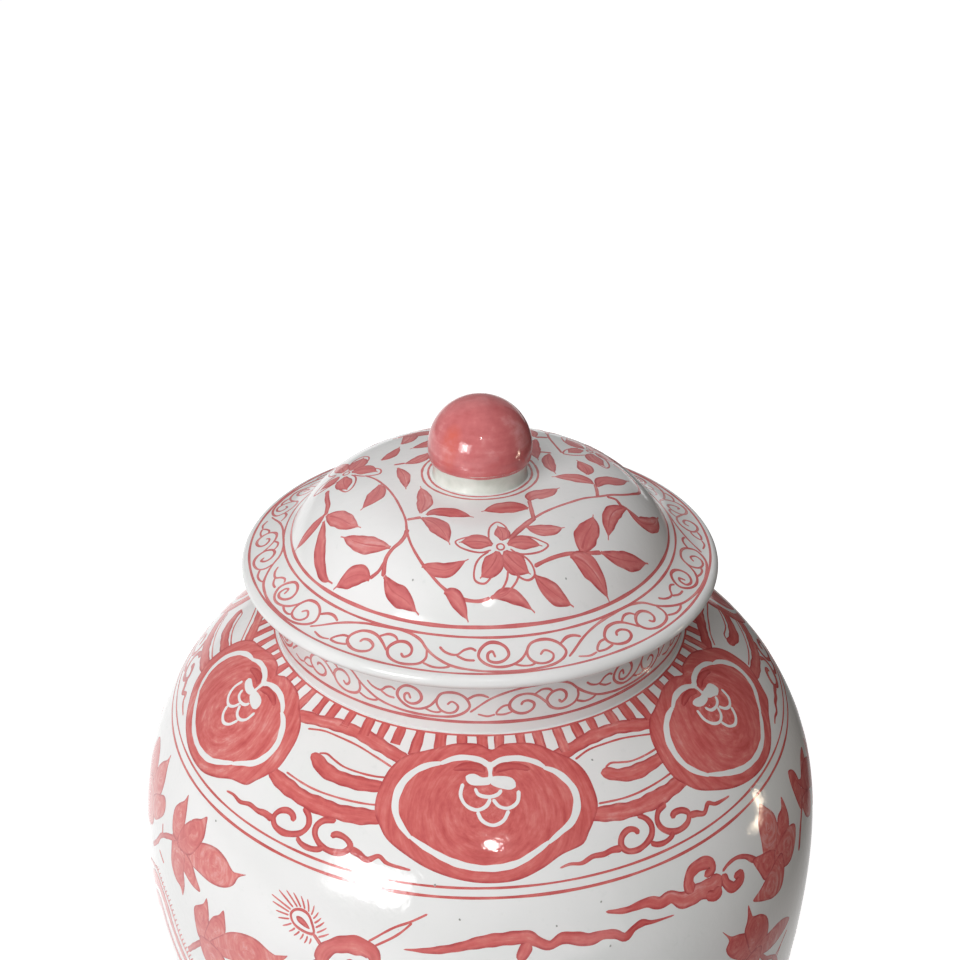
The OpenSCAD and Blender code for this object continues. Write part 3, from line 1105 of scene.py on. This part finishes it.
SPRAY_FAR = ((-71, 92), [
    [(-73, 92), (-72.5, 82), (-71, 76), (-69.6, 72.5), (-69.2, 69), (-68.3, 74), (-67, 80), (-67, 86),
     (-69, 93)],
    [(-70, 92), (-67, 86), (-65, 83.5), (-63.8, 85), (-63.4, 89), (-65, 95), (-67.5, 100), (-71, 98)],
    [(-73, 90), (-69, 97), (-68, 103), (-70, 108.5), (-74, 110), (-77, 104), (-77, 95)],
    [(-80, 90), (-79, 78), (-75, 78), (-72.5, 84), (-73, 92), (-77, 96)]], [])
SPRAY_LOWER = ((-46, 120), [
    [(-47.5, 122.5), (-48.8, 115), (-49, 109), (-47.8, 106), (-46.6, 103), (-46, 99.5), (-45.3, 104),
     (-45, 109), (-45, 119)],
    [(-46, 121), (-45.2, 111), (-44, 105), (-42.7, 102), (-41.8, 98.5), (-41.3, 102), (-41, 108),
     (-42, 115), (-43.5, 121)],
    [(-45, 121), (-42, 111), (-40, 106), (-37, 102.3), (-34.5, 101.5), (-32, 103.5), (-30.5, 103.8),
     (-28.8, 101.5), (-30, 106), (-31.5, 110), (-34.5, 114.5), (-39, 119), (-43, 122)],
    [(-47.3, 121), (-46.8, 129), (-45, 134), (-42, 134.5), (-40, 128), (-42, 120)]],
    [([(-46, 121), (-49, 130), (-51.5, 138)], 2.6)])
SPRAY_RIGHT = ((53, 92), [
    [(50.5, 92), (50.8, 80), (51.5, 73), (53, 69), (53.7, 67.2), (55, 71), (56.3, 76), (56.4, 81),
     (55.5, 91)],
    [(53.5, 92), (55.8, 83), (57.3, 79), (59, 78.2), (60.2, 74.5), (60.6, 80), (60.3, 86), (58, 92)],
    [(47.5, 84), (50, 85.2), (53, 88), (55, 94), (53, 98), (49.5, 97), (48.5, 92)],
    [(53, 91), (59, 88), (62, 92), (61, 98), (58, 103), (54, 99)],
    [(55.5, 94), (51, 95.5), (48, 98.6), (45.8, 100.5), (47, 103), (49, 106), (51.5, 109), (54, 109),
     (55.5, 103)]],
    [([(40.5, 79), (42, 77.8), (44, 77.8), (46, 80), (47.5, 83.5), (49, 87)],
      [1.2, 1.5, 1.8, 2.2, 2.8, 3])])
SPRAY_LOW_RIGHT = ((47, 128), [
    [(45, 128), (40, 119), (39, 113), (39.7, 110), (38.4, 103.5), (40.2, 108.5), (42.5, 111), (46, 118)],
    [(45.5, 128), (43.7, 117), (43.3, 111), (44, 107.5), (44.6, 100.5), (45.3, 107), (47.5, 110),
     (49.3, 115), (49.8, 122), (48.5, 130)],
    [(46, 126), (50, 125), (55, 128), (58, 135), (53, 137), (48, 133)],
    [(48, 128), (47, 138), (44, 144), (41, 140), (42, 132), (45, 126)]],
    [([(47, 128), (49, 137), (53, 146), (55, 154)], 2.4)])
SPRAY_EDGE = ((67, 92), [
    [(66, 92), (65, 82), (65.2, 75), (66, 72), (68, 75), (68.8, 82), (68, 92)],
    [(67, 92), (70, 84), (74, 79), (77, 80), (75, 87), (71, 93)],
    [(67, 90), (71, 92), (74, 99), (72, 106), (68, 100)]],
    [([(67, 91), (64, 98), (62, 106)], 2.2)])
CLOUD_LONG = [
    ([(-11, 84.8), (-7, 84), (-4, 82.5), (0, 80), (3, 79), (7, 79), (8, 80.5), (10, 83), (12, 81),
      (14, 82), (16, 83.5), (18, 83), (20, 84), (21.5, 86.3), (23, 84), (24.5, 83), (26, 84), (30, 85)],
     [0.5, 2.5, 3.5, 4.5, 5.5, 5, 4.5, 4, 4.5, 5, 5.5, 4, 3.5, 3.5, 3, 3, 1.5, 0.6]),
    ([(7, 81), (6.4, 84), (5.5, 88)], [5, 5, 3.5])]
CLOUD_HOOKED = [
    ([(19, 74.5), (22, 76), (26, 76), (28, 78), (30, 77.5), (32, 81), (35, 81), (38, 82), (40, 80)],
     [1, 2.5, 4, 5, 5.5, 6.5, 7.5, 8.5, 6]),
    ([(34, 80), (33.6, 76), (34.5, 72.3), (36.8, 71.2), (38.6, 73), (38.6, 75.4), (36.8, 76.4)],
     [6, 5.5, 5, 5, 5, 4.5, 3]),
    ([(36.3, 84), (38, 86), (39.5, 84.5)], 5),
    ([(40.3, 80), (40.8, 85), (42, 88), (43.8, 87), (44.1, 85), (42.5, 84.2)], [5, 5, 4.5, 4.5, 4, 3])]
HEAD = (-18.2, 88)
BEAK = [
    ([(-16.3, 84.3), (-12.8, 77.3), (-10.3, 74), (-7.8, 70.3)], 0.9),
    ([(-15.3, 85.6), (-12, 79.5), (-10, 74.3)], 0.9)]
CREST = [([(-23.4, 91.5), (-24, 89.8), (-24.9, 87.8)], 1.6)]
CREST_DROP = [(-24.9, 87.6), (-27, 88), (-28.5, 86.4), (-29.1, 83.5), (-28.6, 81.3), (-27.5, 80.2),
              (-26.3, 80.8), (-25.5, 83.2)]
CREST_CORE = [(-25.6, 86.4), (-26.8, 86.1), (-27.9, 84.8), (-28.1, 83.4), (-27.3, 83), (-26.3, 84.3)]
# Root and tip of each barb round the crest's eye.
CREST_BARBS = [
    ((-29.2, 81.8), (-33.1, 79.5)), ((-28.9, 80.6), (-32.0, 76.5)), ((-28.2, 79.8), (-30.7, 75.3)),
    ((-27.6, 79.4), (-29.4, 75.0)), ((-26.9, 79.5), (-28.0, 75.0)), ((-26.2, 80.0), (-26.8, 75.2)),
    ((-25.7, 80.8), (-25.5, 76.6)), ((-25.3, 81.9), (-24.6, 78.6)), ((-25.0, 83.4), (-24.0, 80.4)),
    ((-24.7, 85.0), (-23.4, 81.6)), ((-24.4, 86.8), (-22.9, 83.6)), ((-24.1, 88.4), (-22.4, 85.6)),
    ((-29.4, 83.0), (-32.7, 82.0)), ((-29.4, 84.3), (-31.8, 84.8)), ((-29.2, 85.6), (-31.2, 87.2)),
    ((-28.7, 87.0), (-30.2, 89.6)), ((-28.0, 88.2), (-29.0, 90.8)), ((-27.2, 88.8), (-28.1, 91.6)),
    ((-26.5, 89.1), (-27.0, 92.2)), ((-25.8, 89.4), (-26.2, 93.0)), ((-25.2, 89.8), (-25.4, 92.6))]
HEAD_ARCH = ([(-23.4, 99), (-23, 94), (-21.7, 90.2), (-19.5, 87.6), (-17, 87.2), (-15.4, 89),
              (-15.1, 93), (-16.4, 97), (-19, 100), (-22, 102)],
             [6.5, 6.4, 6.6, 7.2, 7.2, 6.4, 4.4, 2.6, 2, 2])
EYE = [(-18.2, 94.4), (-18.7, 95.3), (-19.2, 94.4), (-18.7, 93.5)]
NECK_AND_BODY = ([(-23.4, 97), (-23.3, 104), (-22, 112), (-21.5, 122), (-23, 133), (-28, 142), (-36, 148),
                  (-43, 148)], [6.5, 8, 13, 22, 26, 20, 11, 5])
WING = [[(-21, 114), (-30, 122), (-39, 134), (-45, 146)],
        [(-20, 120), (-28, 130), (-36, 142), (-40, 154)],
        [(-19, 127), (-25, 138), (-30, 150), (-33, 161)]]
TAIL_EDGE = [(-43, 149), (-50, 146), (-54, 138), (-58, 126), (-64, 121), (-70, 129),
             (-76, 143), (-83, 160)]
TAIL_BANDS = [
    ([(-44, 152), (-52, 150), (-57, 139), (-60, 130), (-64, 127), (-69, 136), (-75, 150), (-81, 165)],
     [2, 4, 5, 6, 7, 7, 6, 2]),
    ([(-44, 155), (-54, 157), (-60, 147), (-64, 139), (-69, 149), (-74, 161), (-79, 174)],
     [2, 4, 5, 7, 7, 5, 2])]
TAIL_SWEEPS = [
    ([(-42, 147), (-50, 142), (-58, 143), (-66, 150), (-72, 159)], [3, 5, 5, 4, 1.5]),
    ([(-42, 149), (-50, 149), (-57, 154), (-63, 163), (-66, 172)], [3, 5, 5, 4, 1.5]),
    ([(-41, 151), (-47, 156), (-51, 165), (-53, 176)], [3, 5, 4.5, 1.5])]
TAIL_EYES = [(-73.5, 162.5), (-67, 176.5), (-53.5, 180.5)]
EYE_SHAPE = np.array([(-1.7, 0), (0, -3), (1.7, 0), (0, 3)])

# Out of sight in the photo the field goes on in the same manner.
# Rows of azimuth, s and flip; a spray's row ends with its spin.
FAR_SPRAYS = (
    (84, 106, -1, 10), (110, 112, 1, 150), (204, 102, 1, 0), (226, 98, -1, 8),
    (8, 126, 1, 0), (86, 166, 1, 185), (104, 206, 1, 150), (76, 232, -1, 170),
    (306, 190, 1, 190), (334, 206, -1, 20), (352, 246, 1, 170), (20, 256, -1, 0),
    (52, 256, 1, 200), (112, 258, 1, 30), (214, 200, -1, 150), (228, 238, 1, 12))
FAR_CLOUDS = (
    (108, 82, 1), (150, 88, -1), (186, 84, 1), (250, 82, 1), (24, 142, -1), (94, 136, 1),
    (-12, 176, 1), (64, 186, 1), (152, 200, -1), (196, 168, -1), (318, 228, -1), (34, 284, 1),
    (88, 286, -1), (336, 284, -1), (128, 228, 1), (280, 196, 1))
FAR_BIRDS = ((128, 118, -1), (262, 112, 1), (48, 158, 1), (150, 222, -1), (292, 230, 1))


def carry(home, to, flip=1, spin=0.0):
    """Carries points drawn about home to another place on the jar, in true size."""
    c, s = math.cos(math.radians(spin)), math.sin(math.radians(spin))

    def move(points):
        p = np.asarray(points, float)
        x = np.radians(p[:, 0] - home[0]) * JAR.radius(p[:, 1]) * flip
        y = p[:, 1] - home[1]
        down = to[1] + s * x + c * y
        return np.stack([to[0] + np.degrees((c * x - s * y) / JAR.radius(down)), down], -1)
    return move


def paint_spray(canvas, spray, to=None, flip=1, spin=0.0):
    home, leaves, stems = spray
    move = carry(home, to or home, flip, spin)
    for points, widths in stems:
        canvas.stroke(move(points), widths)
    for outline in leaves:
        edge_line = move(outline)
        canvas.blob(edge_line, edge_line.mean(0), rng.uniform(-0.9, 0.0), 1.5)


def paint_cloud(canvas, strokes, home=(0, 0), to=None, flip=1):
    move = carry(home, to or home, flip)
    for points, widths in strokes:
        canvas.stroke(move(points), widths)


def paint_crest(canvas, move):
    """The eyed feather on the head: a drop, its core, and barbs sweeping up both sides."""
    canvas.stroke(move(CREST_DROP), 1.1, closed=True)
    core = move(CREST_CORE)
    canvas.blob(core, core.mean(0), spacing=0.8)
    for root, tip in CREST_BARBS:
        middle = (0.5 * (root[0] + tip[0]) + 0.08, 0.5 * (root[1] + tip[1]))
        canvas.stroke(move([root, middle, tip]), [0.8, 0.75, 0.4])


def fringe(canvas, move, line, count, bend, tip):
    """Fine barbs set along a line, each leaning by bend and ending at tip."""
    p = np.asarray(line, float)
    place = np.linspace(0.03, 0.97, count) * (len(p) - 1)
    for at in place:
        i = int(at)
        root = p[i] + (p[i + 1] - p[i]) * (at - i)
        canvas.stroke(move([root, root + bend, root + tip]), [0.8, 0.7, 0.4])


def paint_arched_tail(canvas, move):
    canvas.stroke(move(TAIL_EDGE), 0.9)
    fringe(canvas, move, TAIL_EDGE, 50, (0.4, -1.8), (1.0, -3.6))
    for points, widths in TAIL_BANDS:
        canvas.stroke(move(points), widths)


def paint_swept_tail(canvas, move):
    for points, widths in TAIL_SWEEPS:
        canvas.stroke(move(points), widths)
    for at in TAIL_EYES:
        canvas.blob(move(at + EYE_SHAPE), move([at])[0], -0.3)


def paint_bird(canvas, white, paint_tail, to=HEAD, flip=1):
    """A crested bird with long plumes; only head, beak and crest are seen in the photo."""
    move = carry(HEAD, to, flip)
    for points, widths in BEAK + CREST:
        canvas.stroke(move(points), widths)
    canvas.stroke(move(HEAD_ARCH[0]), HEAD_ARCH[1])
    canvas.stroke(move(EYE), 0.8, closed=True)
    canvas.stroke(move(NECK_AND_BODY[0]), NECK_AND_BODY[1])
    paint_crest(canvas, move)
    for points in WING:
        canvas.stroke(move(points), [3, 7, 6.5, 1.5])
        fringe(canvas, move, points, 14, (-1.0, 4.0), (-2.6, 7.0))
    paint_tail(canvas, move)
    for k in range(6):
        level = 108 + 5.4 * k
        middle = -22 - 0.006 * (level - 112) ** 2 / 4
        feather = [(middle - 3, level), (middle - 1.4, level + 2.4), (middle, level + 0.4),
                   (middle + 1.4, level + 2.4), (middle + 3, level)]
        white.stroke(move(feather), 0.8)


def paint_foot_border(border):
    for s, width in ((302, 1.0), (306, 1.0), (346, 1.4)):
        border.ring(s, width)
    petals = 24
    half = 180 / petals * 0.88
    for k in range(petals):
        at = k * 360 / petals
        border.stroke([(at - half, 310), (at - half, 328), (at - 0.6 * half, 337), (at, 341.5),
                       (at + 0.6 * half, 337), (at + half, 328), (at + half, 310)], 1.1)
        border.leaf([(at, 312), (at, 334)], 7)


def paint_body():
    sprays = Canvas("leaf_sprays", JAR)
    clouds = Canvas("body_clouds", JAR)
    birds = Canvas("crested_birds", JAR)
    white = Canvas("bird_white", JAR, material=GLAZE, slot="jar_glaze", lift=RESERVED_LIFT)
    for spray in (SPRAY_UPPER, SPRAY_FAR, SPRAY_LOWER, SPRAY_RIGHT, SPRAY_LOW_RIGHT, SPRAY_EDGE):
        paint_spray(sprays, spray)
    paint_cloud(clouds, CLOUD_LONG)
    paint_cloud(clouds, CLOUD_HOOKED)
    paint_bird(birds, white, paint_arched_tail)
    far_sprays = Canvas("leaf_sprays_far", JAR)
    far_birds = Canvas("crested_birds_far", JAR)
    for az, s, flip, spin in FAR_SPRAYS:
        paint_spray(far_sprays, SPRAY_UPPER if flip > 0 else SPRAY_LOWER, (az, s), flip, spin)
    for az, s, flip in FAR_CLOUDS:
        paint_cloud(clouds, CLOUD_LONG, (8, 82), (az, s), flip)
    for az, s, flip in FAR_BIRDS:
        paint_bird(far_birds, white, paint_swept_tail, (az, s), flip)
    border = Canvas("foot_border", JAR)
    paint_foot_border(border)
    finish_all(sprays, far_sprays, clouds, birds, far_birds, white, border)


# ---------------------------------------------------------------- iron specks

# On the jar, as azimuth and s; on the lid, as x and y.
SEEN_SPECKS = [(24, 17.5), (-7, 59.3), (-3, 71.5), (18.5, 70.2), (19, 88), (11.3, 76), (-48.5, 67.5)]
LID_SPECKS = [(-26.5, -68.5), (34, -66), (-12, 46), (52, 44)]
CORNERS = np.radians(np.arange(0, 360, 60))


def add_speck(canvas, x, y, size, spacing):
    """size is a radius in mm, or one for each corner."""
    k = float(canvas.scale(y))
    outline = np.stack([x + size * np.cos(CORNERS) / k, y + size * np.sin(CORNERS)], -1)
    canvas.blob(outline, (x, y), 0, spacing)


def paint_specks():
    jar = Canvas("jar_specks", JAR, material=SPECK, slot="jar_glaze", lift=SPECK_LIFT)
    lid = Canvas("lid_specks", LID, "top", SPECK, "lid_glaze", SPECK_LIFT)
    unseen = [(rng.uniform(50, 310), rng.uniform(12, 335)) for _ in range(16)]
    for az, s in SEEN_SPECKS + unseen:
        size = rng.uniform(0.45, 0.70) if az < 40 and s < 90 else rng.uniform(0.25, 0.50)
        ragged = [rng.uniform(0.75, 1.2) * size for _ in CORNERS]
        add_speck(jar, az, s, ragged, 0.15)
    for x, y in LID_SPECKS:
        add_speck(lid, x, y, 0.4, 0.15)
    for _ in range(46):
        az, s = rng.uniform(0, 360), rng.uniform(12, 335)
        add_speck(jar, az, s, rng.uniform(0.10, 0.24), 0.12)
    finish_all(jar, lid)


# ---------------------------------------------------------------- studio

WHITE = (1, 1, 1)
LAMP_AIM = Vector((0, 0, 0.28))
KEY_SIDE = (-0.53, -0.78, 0.34)
GLINT_COLOUR = (1, 0.82, 0.62)
CAMERA_PLACE = (0, -0.5176, 0.6518)
CAMERA_TILT = 27.05      # degrees down from the level


def matte(name, colour):
    look = Recipe(name)
    darker = tuple(0.97 * c for c in colour)
    look.set("Base Color", look.ramp(look.noise(8, 3), [(0.3, darker), (0.7, colour)]))
    look.set("Roughness", 0.9)
    return look


def fading_card():
    """Seen only in the glaze: as bright as the floor on its left, dark to the right."""
    look = Recipe("fading_card")
    look.set("Base Color", (0, 0, 0))
    look.set("Emission Color", (1, 0.99, 0.98))
    split = look.node("SeparateXYZ")
    look.feed(split.inputs["Vector"], look.place)
    look.set("Emission Strength", look.span(split.outputs["X"], 0.12, 0.42, 1.0, 0.03))
    return look


def sheet(name, corners, look):
    mesh = bpy.data.meshes.new(name)
    mesh.from_pydata(corners, [], [tuple(range(len(corners)))])
    mesh.materials.append(look.material)
    card = bpy.data.objects.new(name, mesh)
    bpy.context.scene.collection.objects.link(card)
    return card


def flat_sheet(name, left, right, near, far, height, look):
    return sheet(name, [(left, near, height), (right, near, height), (right, far, height),
                        (left, far, height)], look)


def area_light(name, direction, distance, wide, tall, watts, colour=WHITE):
    light = bpy.data.lights.new(name, "AREA")
    light.shape = "RECTANGLE"
    light.size = wide
    light.size_y = tall
    light.energy = watts
    light.color = colour
    lamp = bpy.data.objects.new(name, light)
    lamp.location = LAMP_AIM + Vector(direction).normalized() * distance
    lamp.rotation_euler = (LAMP_AIM - lamp.location).to_track_quat("-Z", "Y").to_euler()
    bpy.context.scene.collection.objects.link(lamp)
    return lamp


def build_cards():
    floor_look = matte("pale_floor", (0.86, 0.86, 0.86))
    floor_look.set("Emission Color", WHITE)
    floor_look.set("Emission Strength", 0.72)
    floor = flat_sheet("floor", -9, 9, -9, 9, 0, floor_look)
    floor.visible_diffuse = False
    x, near, far, top = 0.66, -0.8, 1.1, 2.0
    card = sheet("right_card", [(x, near, 0), (x, far, 0), (x, far, top), (x, near, top)],
                 matte("dark_card", (0.03, 0.025, 0.022)))
    card.visible_camera = False
    flag = flat_sheet("low_flag", 0.1, 1.8, -1.4, 2.4, 0.003, fading_card())
    flag.visible_camera = False
    flag.visible_diffuse = False
    flag.visible_shadow = False


def build_lights():
    area_light("key_softbox", KEY_SIDE, 1.6, 0.72, 0.50, 7.5)
    core = area_light("key_core", KEY_SIDE, 1.59, 0.34, 0.34, 7.0)
    core.visible_diffuse = False
    area_light("high_lamp", (0.06, -0.71, 0.70), 1.6, 0.08, 0.08, 1.5, (1, 0.99, 0.97))
    area_light("back_fill", (-0.3, 0.8, 0.9), 2.6, 2.4, 1.6, 5)
    area_light("right_glint", (1.0, 0.00, -0.02), 0.62, 0.03, 0.07, 0.13, GLINT_COLOUR)
    area_light("side_glint", (1.0, -0.08, -0.10), 0.60, 0.05, 0.02, 0.07, GLINT_COLOUR)
    bank = area_light("top_bank", (-0.37, -0.56, 0.80), 1.5, 0.9, 0.9, 8.7)
    bank.visible_glossy = False
    world = bpy.data.worlds.new("studio")
    world.use_nodes = True
    background = world.node_tree.nodes["Background"]
    background.inputs["Color"].default_value = (1, 1, 1, 1)
    background.inputs["Strength"].default_value = 0.36
    bpy.context.scene.world = world


def build_camera():
    scene = bpy.context.scene
    scene.view_settings.view_transform = "Standard"
    lens = bpy.data.cameras.new("photo_camera")
    lens.lens = 50
    lens.sensor_width = 36
    camera = bpy.data.objects.new("photo_camera", lens)
    camera.location = CAMERA_PLACE
    camera.rotation_euler = (math.radians(90 - CAMERA_TILT), 0, 0)
    scene.collection.objects.link(camera)
    scene.camera = camera


build_lower_wall()
build_shoulder_wall()
build_neck_wall()
build_foot()
build_lid_dome()
build_seating_flange()
build_knob()
paint_lid_top()
paint_bands()
paint_medallions()
paint_links()
paint_comb()
paint_body()
paint_specks()
build_cards()
build_lights()
build_camera()
